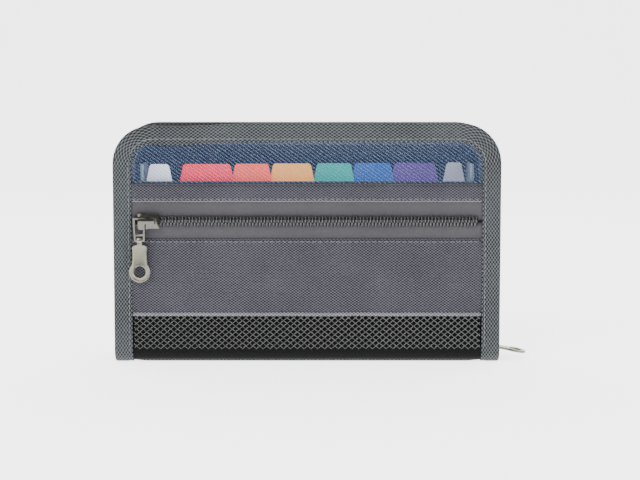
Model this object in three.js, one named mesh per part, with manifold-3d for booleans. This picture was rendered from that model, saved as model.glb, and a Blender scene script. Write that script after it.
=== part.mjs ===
// Zipped expanding file of woven cloth, with a window, a zipped pocket and a mesh pocket
// Millimetres. X to the right, Y to the back, Z up. Origin under the middle of the bottom.

import * as THREE from 'three';
import { mergeVertices } from 'three/addons/utils/BufferGeometryUtils.js';
import Module from 'manifold-3d';

// Cover
const WIDTH = 200;
const HEIGHT = 124;
const DEPTH = 34;
const CORNER_RADIUS = 21;
const CORNER_STEPS = 8;
const BEND_RADIUS = 6;
const BEND_STEPS = 6;
const FIT_GAP = 0.3;

// Binding tape, folded over the rims
const BINDING_WALL = 0.7;
const BINDING_WIDTH = 9.5;
const BINDING_ROUND = 0.8;

// Layers of cloth
const CLOTH = 0.5;
const FILM = 0.3;
const LINING = 0.8;
const POCKET_ROOM = 1.2;
const ZIP_TAPE = 0.5;
const EDGE_INSET = BINDING_WALL + 0.5;

// Front, from the zip outwards
const POCKET_ZIP_DROP = 50.4;
const TAPE_SLIT = 1.6;
const TAPE_VISIBLE = 9.1;
const TAPE_TUCK = 4.5;
const SILL_HEIGHT = 9.5;
const PANEL_BOTTOM = 25.2;
const HEM_HEIGHT = 2;
const HEM_THICKNESS = 0.6;
const HEM_DROP = 1;
const FILM_TUCK = 4.7;
const MESH_END_STATION = 5;
const WINDOW_MARGIN = 1.5;
const WINDOW_SILL = 1;

// Net of the lower pocket
const NET_ROWS = 5;
const NET_COLUMNS = 24;
const NET_ROW_PITCH = 2.95;
const NET_STRAND = 1.3;
const NET_MARGIN = 2.5;

// Bottom
const BASE_INSET = 4;
const BASE_LENGTH = 20;
const BASE_SLOPE = 1;

// Coils and sliders, seen from the tape's outer face
const COIL_HEIGHT = 2;
const COIL_HALF = 3.1;
const COIL_POST_GAP = 0.9;
const COIL_SPINE = 1.2;
const COIL_CROSS = 0.8;
const COIL_CHAMFER = 0.6;
const POCKET_TOOTH_PITCH = 3.52;
const MAIN_TOOTH_PITCH = 7.04;
const TOOTH_FLANK = 0.08;
const SLIDER_LENGTH = 11.3;
const SLIDER_WIDE = 8.8;
const SLIDER_NARROW = 7.4;
const SLIDER_WING = 0.9;
const SLIDER_REAR_WING = 0.8;
const SLIDER_GAP = 0.2;
const SLIDER_LIP = 0.9;
const SLIDER_POST = 1;
const SLIDER_POST_LENGTH = 2.4;
const BAIL_ROOM = 1.8;
const BAIL_BAR = 1;
const BAIL_WIDTH = 2.4;
const BAIL_POST_RADIUS = 0.75;
const BAIL_POST_X = -4.6;
const BAIL_FOOT_X = 2.6;
const ROUND_SIDES = 16;

// Link between slider and pull
const LINK_LENGTH = 11.4;
const LINK_BAR = 1.2;
const LINK_TOP_HALF = 3.5;
const LINK_FOOT_HALF = 2.75;
const LINK_RAIL = 1.1;
const LINK_RUNG_Z = 8.5;

// Pull
const PULL_THICKNESS = 1.2;
const PULL_LOOP_INNER = 1.2;
const PULL_LOOP_WALL = 0.75;
const PULL_LOOP_HALF = 1.3;
const PULL_SHOULDER_Z = 2.6;
const PULL_SHOULDER_HALF = 3.85;
const PULL_WAIST_Z = 8.4;
const PULL_WAIST_HALF = 3.3;
const PULL_EYE_Z = 16.2;
const PULL_EYE_RADIUS = 5.5;
const PULL_HOLE_RADIUS = 3.1;

// Places of the two sliders
const POCKET_SLIDER_INSET = 18.6;
const MAIN_SLIDER_Z = 21.1;
const MAIN_PULL_ANGLE = 79.8;

// Main zip
const MAIN_COIL_START = 9;
const MAIN_SLIT = 1.6;

// Accordion
const SHEET = 0.5;
const SHEET_COUNT = 10;
const SHEET_DROP = 33;
const TAB_HEIGHT = 11.6;
const TAB_SLANT = 2.2;
const BELLOWS_WALL = 0.35;
const BELLOWS_FOLD = 1.5;
const BELLOWS_SIDE_GAP = 3.2;
const BELLOWS_CORNER = 6;
const BELLOWS_CORNER_STEPS = 3;

// Derived sizes
const HALF_WIDTH = WIDTH / 2;
const FRONT_Y = -DEPTH / 2;
const BACK_Y = DEPTH / 2;
const SKIN_DEPTH = BINDING_WALL;
const UNDER_DEPTH = SKIN_DEPTH + CLOTH;
const FRONT_LINING = UNDER_DEPTH + ZIP_TAPE + POCKET_ROOM;
const FRONT_STACK = FRONT_LINING + LINING + ZIP_TAPE + BINDING_WALL;
const BOTTOM_STACK = UNDER_DEPTH + LINING + BINDING_WALL;
const BACK_STACK = UNDER_DEPTH + LINING + ZIP_TAPE + BINDING_WALL;
const TAPE_FACE_Y = FRONT_Y + UNDER_DEPTH;
const INNER_HALF = HALF_WIDTH - BINDING_WIDTH;
const POCKET_ZIP_Z = HEIGHT - POCKET_ZIP_DROP;
const POCKET_SLIDER_X = POCKET_SLIDER_INSET - HALF_WIDTH;
const SHEET_TOP = HEIGHT - SHEET_DROP;
const TAB_TOP = SHEET_TOP + TAB_HEIGHT;
const PANEL_TOP = POCKET_ZIP_Z - TAPE_VISIBLE;
const SILL_BOTTOM = POCKET_ZIP_Z + TAPE_VISIBLE + 0.8;
const SILL_TOP = SILL_BOTTOM + SILL_HEIGHT;
const MAIN_TAPE_U = BINDING_WIDTH + FIT_GAP;
const LINK_DEPTH = COIL_HEIGHT + SLIDER_GAP + SLIDER_WING + BAIL_ROOM / 2;

const wasm = await Module();
wasm.setup();

// Solids and meshes
function toSolid(geometry) {
  const bare = geometry.index ? geometry.clone() : mergeVertices(geometry.clone());
  bare.deleteAttribute('normal');
  bare.deleteAttribute('uv');
  const merged = mergeVertices(bare, 1e-5);
  return new wasm.Manifold(new wasm.Mesh({
    numProp: 3,
    vertProperties: new Float32Array(merged.attributes.position.array),
    triVerts: new Uint32Array(merged.index.array),
  }));
}

function toGeometry(solid) {
  const mesh = solid.getMesh();
  const geometry = new THREE.BufferGeometry();
  geometry.setAttribute('position', new THREE.BufferAttribute(mesh.vertProperties, 3));
  geometry.setIndex(new THREE.BufferAttribute(mesh.triVerts, 1));
  geometry.computeVertexNormals();
  return geometry;
}

// A flat outline in X and Z, thick from y0 to y1
function plateXZ(shape, y0, y1, curveSegments = CORNER_STEPS) {
  const geometry = new THREE.ExtrudeGeometry(shape, {
    depth: y1 - y0,
    bevelEnabled: false,
    curveSegments,
  });
  return geometry.rotateX(Math.PI / 2).translate(0, y1, 0);
}

// A flat outline in Y and Z, long from x0 to x1
function barYZ(shape, x0, x1, curveSegments = CORNER_STEPS) {
  const geometry = new THREE.ExtrudeGeometry(shape, {
    depth: x1 - x0,
    bevelEnabled: false,
    curveSegments,
  });
  const turn = new THREE.Matrix4().makeBasis(
    new THREE.Vector3(0, 1, 0),
    new THREE.Vector3(0, 0, 1),
    new THREE.Vector3(1, 0, 0),
  );
  return geometry.applyMatrix4(turn).translate(x0, 0, 0);
}

function block(x0, x1, y0, y1, z0, z1) {
  const geometry = new THREE.BoxGeometry(x1 - x0, y1 - y0, z1 - z0);
  return geometry.translate((x0 + x1) / 2, (y0 + y1) / 2, (z0 + z1) / 2);
}

function polygon(points) {
  return new THREE.Shape(points.map(([a, b]) => new THREE.Vector2(a, b)));
}

function circle(centreX, centreY, radius) {
  const points = [];
  for (let i = 0; i < ROUND_SIDES; i += 1) {
    const angle = (i / ROUND_SIDES) * 2 * Math.PI;
    points.push([centreX + radius * Math.cos(angle), centreY + radius * Math.sin(angle)]);
  }
  return polygon(points);
}

// A skin over rings of points, closed on itself or closed by its two ends
function skin(rings, closed) {
  const count = rings[0].length;
  const positions = rings.flat().flatMap((point) => [point.x, point.y, point.z]);
  const index = [];
  const spans = closed ? rings.length : rings.length - 1;
  for (let i = 0; i < spans; i += 1) {
    const here = i * count;
    const there = ((i + 1) % rings.length) * count;
    for (let j = 0; j < count; j += 1) {
      const next = (j + 1) % count;
      index.push(here + j, here + next, there + next);
      index.push(here + j, there + next, there + j);
    }
  }
  if (!closed) {
    const origin = rings[0][0];
    const across = rings[0][1].clone().sub(origin).normalize();
    const normal = new THREE.Vector3();
    for (let j = 0; j < count; j += 1) {
      normal.add(rings[0][j].clone().cross(rings[0][(j + 1) % count]));
    }
    const up = normal.normalize().clone().cross(across);
    const flat = rings[0].map((point) => {
      const arm = point.clone().sub(origin);
      return new THREE.Vector2(arm.dot(across), arm.dot(up));
    });
    const last = (rings.length - 1) * count;
    for (const [a, b, c] of THREE.ShapeUtils.triangulateShape(flat, [])) {
      index.push(a, c, b);
      index.push(last + a, last + b, last + c);
    }
  }
  const geometry = new THREE.BufferGeometry();
  geometry.setAttribute('position', new THREE.Float32BufferAttribute(positions, 3));
  geometry.setIndex(signedVolume(positions, index) < 0 ? index.reverse() : index);
  geometry.computeVertexNormals();
  return geometry;
}

function signedVolume(positions, index) {
  const at = (i) => new THREE.Vector3().fromArray(positions, index[i] * 3);
  let total = 0;
  for (let i = 0; i < index.length; i += 3) {
    total += at(i).dot(at(i + 1).cross(at(i + 2)));
  }
  return total / 6;
}

// The rim seen from the front: points on the outline with the way inwards
function rimPoints(footZ) {
  const points = [];
  const cornerZ = HEIGHT - CORNER_RADIUS;
  points.push({ x: -HALF_WIDTH, z: footZ, inX: 1, inZ: 0 });
  for (const side of [-1, 1]) {
    const centreX = side * (HALF_WIDTH - CORNER_RADIUS);
    for (let i = 0; i <= CORNER_STEPS; i += 1) {
      const share = (i / CORNER_STEPS) * (Math.PI / 2);
      const angle = side < 0 ? Math.PI - share : Math.PI / 2 - share;
      points.push({
        x: centreX + CORNER_RADIUS * Math.cos(angle),
        z: cornerZ + CORNER_RADIUS * Math.sin(angle),
        inX: -Math.cos(angle),
        inZ: -Math.sin(angle),
      });
    }
  }
  points.push({ x: HALF_WIDTH, z: footZ, inX: -1, inZ: 0 });
  return points;
}

// The same rim as an outline, pulled in by an inset
function rimShape(inset, bottom) {
  return polygon(rimPoints(bottom).map(({ x, z, inX, inZ }) => [x + inX * inset, z + inZ * inset]));
}

// Stations round the cover, down the front, under the bottom and up the back
const WRAP = [];
WRAP.push({ y: FRONT_Y, z: HEIGHT, inY: 1, inZ: 0, front: 1, back: 0 });
for (let i = 0; i <= BEND_STEPS; i += 1) {
  const share = i / BEND_STEPS;
  const angle = share * (Math.PI / 2);
  WRAP.push({
    y: FRONT_Y + BEND_RADIUS * (1 - Math.cos(angle)),
    z: BEND_RADIUS * (1 - Math.sin(angle)),
    inY: Math.cos(angle),
    inZ: Math.sin(angle),
    front: 1 - share,
    back: 0,
  });
}
for (let i = 0; i <= BEND_STEPS; i += 1) {
  const share = i / BEND_STEPS;
  const angle = share * (Math.PI / 2);
  WRAP.push({
    y: BACK_Y - BEND_RADIUS * (1 - Math.sin(angle)),
    z: BEND_RADIUS * (1 - Math.cos(angle)),
    inY: -Math.sin(angle),
    inZ: Math.cos(angle),
    front: 0,
    back: share,
  });
}
WRAP.push({ y: BACK_Y, z: HEIGHT, inY: -1, inZ: 0, front: 0, back: 1 });
const FRONT_FOOT = 1;
const BACK_FOOT = WRAP.length - 2;
const BACK_TOP = WRAP.length - 1;

function wrapDepth(station, { front, bottom, back }) {
  const rest = 1 - station.front - station.back;
  return station.front * front + rest * bottom + station.back * back;
}

function stationPoint(station, depths) {
  const depth = wrapDepth(station, depths);
  return [station.y + station.inY * depth, station.z + station.inZ * depth];
}

function wrapPoint(place, depths) {
  const low = Math.min(Math.floor(place), WRAP.length - 2);
  const share = place - low;
  const [y0, z0] = stationPoint(WRAP[low], depths);
  const [y1, z1] = stationPoint(WRAP[low + 1], depths);
  return [y0 + (y1 - y0) * share, z0 + (z1 - z0) * share];
}

function frontPlace(z) {
  return FRONT_FOOT * (HEIGHT - z) / (HEIGHT - BEND_RADIUS);
}

// A sheet that follows the cover from one place to another
function wrapSheet(from, to, outer, inner, half) {
  const places = [from];
  for (let i = Math.floor(from) + 1; i < to; i += 1) {
    places.push(i);
  }
  places.push(to);
  const outline = [
    ...places.map((place) => wrapPoint(place, outer)),
    ...places.reverse().map((place) => wrapPoint(place, inner)),
  ];
  return barYZ(polygon(outline), -half, half);
}

// Binding, one tape that runs round the front rim, under the sides and round the back rim
function bindingProfile(stack) {
  const inner = stack - BINDING_WALL;
  const soft = BINDING_ROUND * 0.29;
  const fillet = BINDING_WALL + 0.2;
  return [
    [BINDING_WIDTH, 0],
    [BINDING_ROUND, 0],
    [soft, soft],
    [0, BINDING_ROUND],
    [0, stack - BINDING_ROUND],
    [soft, stack - soft],
    [BINDING_ROUND, stack],
    [BINDING_WIDTH, stack],
    [BINDING_WIDTH, inner],
    [fillet, inner],
    [BINDING_WALL, inner - 0.2],
    [BINDING_WALL, fillet],
    [fillet, BINDING_WALL],
    [BINDING_WIDTH, BINDING_WALL],
  ];
}

function frameRing({ origin, across, through }, profile) {
  return profile.map(([u, v]) => origin.clone()
    .addScaledVector(across, u)
    .addScaledVector(through, v));
}

function rimFrames(side, footZ) {
  const y = side < 0 ? FRONT_Y : BACK_Y;
  return rimPoints(footZ).map(({ x, z, inX, inZ }) => ({
    origin: new THREE.Vector3(x, y, z),
    across: new THREE.Vector3(inX, 0, inZ),
    through: new THREE.Vector3(0, -side, 0),
  }));
}

function underFrames(side) {
  const stations = WRAP.slice(FRONT_FOOT + 1, BACK_FOOT);
  return stations.map((station) => ({
    origin: new THREE.Vector3(side * HALF_WIDTH, station.y, station.z),
    across: new THREE.Vector3(-side, 0, 0),
    through: new THREE.Vector3(0, station.inY, station.inZ),
    stack: wrapDepth(station, { front: FRONT_STACK, bottom: BOTTOM_STACK, back: BACK_STACK }),
  }));
}

function makeBinding() {
  const withStack = (frames, stack) => frames.map((frame) => ({ ...frame, stack }));
  const frames = [
    ...withStack(rimFrames(-1, BEND_RADIUS), FRONT_STACK),
    ...underFrames(1),
    ...withStack(rimFrames(1, BEND_RADIUS), BACK_STACK).reverse(),
    ...underFrames(-1).reverse(),
  ];
  return skin(frames.map((frame) => frameRing(frame, bindingProfile(frame.stack))), true);
}

// Cover cloth and lining
const rimPrism = toSolid(plateXZ(rimShape(EDGE_INSET, -1), FRONT_Y - 1, BACK_Y + 1));
const WRAP_HALF = HALF_WIDTH - EDGE_INSET;
const allRound = (depth) => ({ front: depth, bottom: depth, back: depth });

function makeOuterFabric() {
  const start = MESH_END_STATION + FIT_GAP;
  const wall = wrapSheet(start, BACK_TOP, allRound(SKIN_DEPTH), allRound(UNDER_DEPTH), WRAP_HALF);
  const top = INNER_HALF - BASE_INSET;
  const foot = top - BASE_SLOPE;
  const halfY = BASE_LENGTH / 2;
  const base = skin([[top, halfY, SKIN_DEPTH], [foot, halfY - BASE_SLOPE, 0]].map(
    ([x, y, z]) => [[-x, -y], [x, -y], [x, y], [-x, y]].map(([a, b]) => new THREE.Vector3(a, b, z)),
  ), false);
  return toGeometry(toSolid(wall).add(toSolid(base)).intersect(rimPrism));
}

function makeLining() {
  const outer = { front: FRONT_LINING, bottom: UNDER_DEPTH, back: UNDER_DEPTH };
  const inner = {
    front: FRONT_LINING + LINING,
    bottom: UNDER_DEPTH + LINING,
    back: UNDER_DEPTH + LINING,
  };
  const wall = toSolid(wrapSheet(0, BACK_TOP, outer, inner, WRAP_HALF)).intersect(rimPrism);
  const opening = rimShape(BINDING_WIDTH + WINDOW_MARGIN, SILL_TOP + WINDOW_SILL);
  return toGeometry(wall.subtract(toSolid(plateXZ(opening, FRONT_Y, 0))));
}

// Layers of the front
function frontLayer(depth, thickness, bottom, top) {
  const y0 = FRONT_Y + depth;
  const band = toSolid(block(-WRAP_HALF, WRAP_HALF, y0, y0 + thickness, bottom, top));
  return toGeometry(band.intersect(rimPrism));
}

// Net pocket: staggered diamond gaps in the flat part of the wall
function makeMeshPocket() {
  const wall = toSolid(wrapSheet(
    frontPlace(PANEL_BOTTOM - CLOTH),
    MESH_END_STATION,
    allRound(SKIN_DEPTH),
    allRound(UNDER_DEPTH),
    WRAP_HALF,
  ));
  const span = 2 * (INNER_HALF - NET_MARGIN);
  const pitch = span / (NET_COLUMNS + 0.5);
  const halfX = (pitch - NET_STRAND) / 2;
  const halfZ = (2 * NET_ROW_PITCH - NET_STRAND * 2) / 2 * 0.62;
  const top = PANEL_BOTTOM - HEM_DROP - NET_ROW_PITCH * 0.75;
  const y0 = FRONT_Y + SKIN_DEPTH - FIT_GAP;
  const gaps = [];
  for (let row = 0; row < NET_ROWS; row += 1) {
    const z = top - row * NET_ROW_PITCH;
    const shift = (row % 2) / 2;
    for (let column = 0; column < NET_COLUMNS; column += 1) {
      const x = -span / 2 + (column + 0.5 + shift) * pitch;
      const diamond = polygon([[x - halfX, z], [x, z - halfZ], [x + halfX, z], [x, z + halfZ]]);
      gaps.push(toSolid(plateXZ(diamond, y0, y0 + CLOTH + FIT_GAP * 2)));
    }
  }
  return toGeometry(wall.subtract(wasm.Manifold.union(gaps)));
}

function makeMeshHem() {
  const half = INNER_HALF - FIT_GAP;
  const y1 = FRONT_Y + SKIN_DEPTH;
  const bottom = PANEL_BOTTOM - HEM_DROP;
  return block(-half, half, y1 - HEM_THICKNESS, y1, bottom, bottom + HEM_HEIGHT);
}

// How far the teeth reach towards the middle: past it where the coil is closed,
// and clear of the slider's post where it is open
function toothReach(place, postEnd) {
  const share = THREE.MathUtils.clamp((place - postEnd) / (SLIDER_LENGTH / 2), 0, 1);
  return THREE.MathUtils.lerp(COIL_POST_GAP, -COIL_CROSS, share);
}

// Places along a coil: each tooth has two flanks, and the teeth of the two sides alternate
function toothStations(length, pitch, side) {
  const half = pitch / 6;
  const count = Math.floor((length - pitch * 2) / pitch);
  const first = (length - (count - 1) * pitch) / 2 + (side * pitch) / 4;
  const stations = [{ at: 0, tooth: false }];
  for (let i = 0; i < count; i += 1) {
    const at = first + i * pitch;
    stations.push({ at: at - half - TOOTH_FLANK, tooth: false });
    stations.push({ at: at - half, tooth: true });
    stations.push({ at: at + half, tooth: true });
    stations.push({ at: at + half + TOOTH_FLANK, tooth: false });
  }
  stations.push({ at: length, tooth: false });
  return stations;
}

// Section of a coil, across from the middle of the zip and out from its tape
function coilSection(inner) {
  return [
    [inner, 0],
    [inner + COIL_CHAMFER / 2, COIL_HEIGHT],
    [COIL_HALF - COIL_CHAMFER, COIL_HEIGHT],
    [COIL_HALF, 0],
  ];
}

// Pocket zip
function makePocketCoil(side) {
  const half = INNER_HALF - FIT_GAP;
  const postEnd = POCKET_SLIDER_X + BAIL_POST_X + SLIDER_POST_LENGTH;
  const rings = toothStations(half * 2, POCKET_TOOTH_PITCH, side).map(({ at, tooth }) => {
    const x = at - half;
    const inner = tooth ? toothReach(x, postEnd) : COIL_SPINE;
    return coilSection(inner).map(([across, out]) => new THREE.Vector3(
      x,
      TAPE_FACE_Y - out,
      POCKET_ZIP_Z + side * across,
    ));
  });
  return skin(rings, false);
}

// Main zip, two tapes bound in the rims that meet over the gusset
function mainTapeProfile(stack) {
  const flangeIn = stack - BINDING_WALL - ZIP_TAPE;
  const flangeOut = stack - BINDING_WALL;
  const edge = BACK_Y - MAIN_SLIT / 2;
  return [
    [EDGE_INSET, flangeIn],
    [MAIN_TAPE_U + ZIP_TAPE, flangeIn],
    [MAIN_TAPE_U + ZIP_TAPE, edge],
    [MAIN_TAPE_U, edge],
    [MAIN_TAPE_U, flangeOut],
    [EDGE_INSET, flangeOut],
  ];
}

function makeMainTape(side, stack) {
  const frames = rimFrames(side, BEND_RADIUS + FIT_GAP);
  return skin(frames.map((frame) => frameRing(frame, mainTapeProfile(stack))), false);
}

// The coil follows the facets of its tape, so it has a station at each of their edges too
function makeMainCoil(side) {
  const frames = rimFrames(side, MAIN_COIL_START);
  const onTape = frames.map((frame) => frameRing(frame, [[MAIN_TAPE_U, 0]])[0]);
  const edges = [0];
  for (let i = 1; i < onTape.length; i += 1) {
    edges.push(edges[i - 1] + onTape[i].distanceTo(onTape[i - 1]));
  }
  const length = edges[edges.length - 1];
  const stations = toothStations(length, MAIN_TOOTH_PITCH, side);
  for (const at of edges.slice(1, -1)) {
    const next = stations.findIndex((station) => station.at > at);
    const inTooth = stations[next - 1].tooth && stations[next].tooth;
    stations.splice(next, 0, { at, tooth: inTooth });
  }
  const postEnd = MAIN_SLIDER_Z + BAIL_POST_X + SLIDER_POST_LENGTH - MAIN_COIL_START;
  const rings = stations.map(({ at, tooth }) => {
    const high = Math.max(1, edges.findIndex((edge) => edge >= at));
    const share = (at - edges[high - 1]) / (edges[high] - edges[high - 1]);
    const inner = tooth ? toothReach(length - at, postEnd) : COIL_SPINE;
    const section = coilSection(inner).map(
      ([across, out]) => [MAIN_TAPE_U - out, DEPTH / 2 - across],
    );
    const from = frameRing(frames[high - 1], section);
    const to = frameRing(frames[high], section);
    return from.map((point, i) => point.lerp(to[i], share));
  });
  return skin(rings, false);
}

// Slider: chain along X with its wide end at -X, outwards is -Y, tape face at y = 0
function makeSlider() {
  const end = SLIDER_LENGTH / 2;
  const wide = SLIDER_WIDE / 2;
  const narrow = SLIDER_NARROW / 2;
  const outline = new THREE.Shape();
  outline.moveTo(end, -narrow + 1);
  outline.quadraticCurveTo(end, -narrow, end - 1, -narrow);
  outline.lineTo(0, -narrow);
  outline.quadraticCurveTo(-end / 2, -wide, -end + 1.5, -wide);
  outline.quadraticCurveTo(-end, -wide, -end, -wide + 1.5);
  outline.lineTo(-end, wide - 1.5);
  outline.quadraticCurveTo(-end, wide, -end + 1.5, wide);
  outline.quadraticCurveTo(-end / 2, wide, 0, narrow);
  outline.lineTo(end - 1, narrow);
  outline.quadraticCurveTo(end, narrow, end, narrow - 1);
  outline.closePath();

  const wingIn = -(COIL_HEIGHT + SLIDER_GAP);
  const wingOut = wingIn - SLIDER_WING;
  const rearIn = ZIP_TAPE + SLIDER_GAP;
  const rearOut = rearIn + SLIDER_REAR_WING;
  const barIn = wingOut - BAIL_ROOM;
  const barOut = barIn - BAIL_BAR;
  const front = toSolid(plateXZ(outline, wingOut, wingIn, 4));
  const rear = toSolid(plateXZ(outline, rearIn, rearOut, 4));
  const post = toSolid(block(
    BAIL_POST_X,
    BAIL_POST_X + SLIDER_POST_LENGTH,
    wingOut + 0.2,
    rearOut - 0.2,
    -SLIDER_POST / 2,
    SLIDER_POST / 2,
  ));
  const lipSolid = toSolid(plateXZ(outline, wingOut + 0.2, -SLIDER_GAP - 0.1, 4));
  const innerHalf = COIL_HALF + FIT_GAP;
  const core = toSolid(block(-SLIDER_LENGTH, SLIDER_LENGTH, wingIn, 1, -innerHalf, innerHalf));
  const lips = lipSolid.subtract(core);

  const arch = new THREE.Shape();
  const foot = BAIL_FOOT_X + SLIDER_LIP;
  const heel = BAIL_POST_X - BAIL_POST_RADIUS;
  arch.moveTo(BAIL_POST_X, -barIn);
  arch.lineTo(BAIL_FOOT_X - 0.4, -barIn);
  arch.quadraticCurveTo(BAIL_FOOT_X, -barIn, BAIL_FOOT_X, -barIn - 0.6);
  arch.lineTo(BAIL_FOOT_X, -wingOut - 0.2);
  arch.lineTo(foot, -wingOut - 0.2);
  arch.lineTo(foot, -barIn);
  arch.quadraticCurveTo(foot, -barOut, foot - BAIL_BAR, -barOut);
  arch.lineTo(heel + 0.6, -barOut);
  arch.quadraticCurveTo(heel, -barOut, heel, -barOut - 0.6);
  arch.lineTo(heel, -barIn);
  arch.closePath();
  const bail = new THREE.ExtrudeGeometry(arch, {
    depth: BAIL_WIDTH,
    bevelEnabled: false,
    curveSegments: 3,
  }).rotateX(Math.PI).translate(0, 0, BAIL_WIDTH / 2);
  const pin = new THREE.CylinderGeometry(
    BAIL_POST_RADIUS,
    BAIL_POST_RADIUS,
    BAIL_ROOM + 0.6,
    ROUND_SIDES,
  ).translate(BAIL_POST_X, (barIn + wingOut) / 2, 0);
  return toGeometry(front.add(rear).add(post).add(lips).add(toSolid(bail)).add(toSolid(pin)));
}

// Link: a ladder frame that hangs from its top bar, width along X, thickness along Y
function makeLink() {
  const bar = LINK_BAR / 2;
  const foot = -LINK_LENGTH - bar;
  const rung = -LINK_RUNG_Z;
  const halfAt = (z) => LINK_TOP_HALF + (LINK_FOOT_HALF - LINK_TOP_HALF) * (bar - z) / (bar - foot);
  const outline = new THREE.Shape();
  outline.moveTo(halfAt(foot) - 0.8, foot);
  outline.quadraticCurveTo(halfAt(foot), foot, halfAt(foot), foot + 0.8);
  outline.lineTo(halfAt(bar), bar - 1);
  outline.quadraticCurveTo(halfAt(bar), bar, halfAt(bar) - 1, bar);
  outline.lineTo(1 - halfAt(bar), bar);
  outline.quadraticCurveTo(-halfAt(bar), bar, -halfAt(bar), bar - 1);
  outline.lineTo(-halfAt(foot), foot + 0.8);
  outline.quadraticCurveTo(-halfAt(foot), foot, 0.8 - halfAt(foot), foot);
  outline.closePath();
  const windowHole = (top, bottom) => new THREE.Path([
    new THREE.Vector2(halfAt(top) - LINK_RAIL, top),
    new THREE.Vector2(LINK_RAIL - halfAt(top), top),
    new THREE.Vector2(LINK_RAIL - halfAt(bottom), bottom),
    new THREE.Vector2(halfAt(bottom) - LINK_RAIL, bottom),
  ]);
  outline.holes.push(windowHole(-bar, rung + bar), windowHole(rung - bar, foot + LINK_BAR));
  return toGeometry(toSolid(plateXZ(outline, -bar, bar, 3)));
}

// Pull: a loop round the link's lower bar and a plate with an eye
function makePull() {
  const half = PULL_THICKNESS / 2;
  const outline = new THREE.Shape();
  const eyeStart = Math.asin(PULL_WAIST_HALF / PULL_EYE_RADIUS) + 0.18;
  outline.moveTo(PULL_LOOP_HALF, -PULL_LOOP_INNER - 0.1);
  outline.lineTo(PULL_LOOP_HALF, -PULL_SHOULDER_Z + 0.2);
  outline.quadraticCurveTo(
    PULL_SHOULDER_HALF,
    -PULL_SHOULDER_Z + 0.2,
    PULL_SHOULDER_HALF,
    -PULL_SHOULDER_Z - 1.4,
  );
  outline.quadraticCurveTo(
    PULL_WAIST_HALF,
    -PULL_WAIST_Z,
    PULL_EYE_RADIUS * Math.sin(eyeStart),
    -PULL_EYE_Z + PULL_EYE_RADIUS * Math.cos(eyeStart),
  );
  outline.absarc(
    0,
    -PULL_EYE_Z,
    PULL_EYE_RADIUS,
    Math.PI / 2 - eyeStart,
    Math.PI / 2 + eyeStart - 2 * Math.PI,
    true,
  );
  outline.quadraticCurveTo(
    -PULL_WAIST_HALF,
    -PULL_WAIST_Z,
    -PULL_SHOULDER_HALF,
    -PULL_SHOULDER_Z - 1.4,
  );
  outline.quadraticCurveTo(
    -PULL_SHOULDER_HALF,
    -PULL_SHOULDER_Z + 0.2,
    -PULL_LOOP_HALF,
    -PULL_SHOULDER_Z + 0.2,
  );
  outline.lineTo(-PULL_LOOP_HALF, -PULL_LOOP_INNER - 0.1);
  outline.closePath();
  outline.holes.push(circle(0, -PULL_EYE_Z, PULL_HOLE_RADIUS));
  const loopRadius = PULL_LOOP_INNER + PULL_LOOP_WALL;
  const loop = toSolid(barYZ(circle(0, 0, loopRadius), -PULL_LOOP_HALF, PULL_LOOP_HALF));
  const bore = toSolid(barYZ(circle(0, 0, PULL_LOOP_INNER), -WIDTH, WIDTH));
  const plate = toSolid(plateXZ(outline, -half, half, ROUND_SIDES / 2));
  return toGeometry(plate.add(loop).subtract(bore));
}

// Accordion of film
const SHEET_FRONT_Y = FRONT_Y + FRONT_STACK + 1;
const SHEET_BACK_Y = BACK_Y - BACK_STACK - 1;
const SHEET_PITCH = (SHEET_BACK_Y - SHEET_FRONT_Y) / (SHEET_COUNT - 1);
const BELLOWS_HALF = HALF_WIDTH - MAIN_TAPE_U - ZIP_TAPE - BELLOWS_SIDE_GAP;
const BELLOWS_FOOT = UNDER_DEPTH + LINING + FIT_GAP;
const SHEET_CLEAR = BELLOWS_FOLD + BELLOWS_WALL + FIT_GAP;
const SHEET_HALF = BELLOWS_HALF - SHEET_CLEAR;

// The two round lower corners that the folded strip and the sheets follow
function troughTurns() {
  const turns = [];
  for (const side of [-1, 1]) {
    const centreX = side * (BELLOWS_HALF - BELLOWS_CORNER);
    for (let i = 0; i <= BELLOWS_CORNER_STEPS; i += 1) {
      const share = (i / BELLOWS_CORNER_STEPS) * (Math.PI / 2);
      const angle = side < 0 ? Math.PI + share : 1.5 * Math.PI + share;
      turns.push({
        x: centreX + BELLOWS_CORNER * Math.cos(angle),
        z: BELLOWS_FOOT + BELLOWS_CORNER + BELLOWS_CORNER * Math.sin(angle),
        inX: -Math.cos(angle),
        inZ: -Math.sin(angle),
      });
    }
  }
  return turns;
}

function makeBellows() {
  const profile = [];
  const back = [];
  for (let i = 0; i < SHEET_COUNT * 2 - 1; i += 1) {
    const y = SHEET_FRONT_Y + (i * SHEET_PITCH) / 2;
    const inset = i % 2 === 0 ? BELLOWS_FOLD : 0;
    profile.push([inset, y]);
    back.unshift([inset + BELLOWS_WALL, y]);
  }
  const turns = troughTurns();
  const path = [
    { ...turns[0], z: TAB_TOP },
    ...turns,
    { ...turns[turns.length - 1], z: TAB_TOP },
  ];
  const rings = path.map(({ x, z, inX, inZ }) => [...profile, ...back].map(
    ([inset, y]) => new THREE.Vector3(x + inX * inset, y, z + inZ * inset),
  ));
  return skin(rings, false);
}

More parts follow.
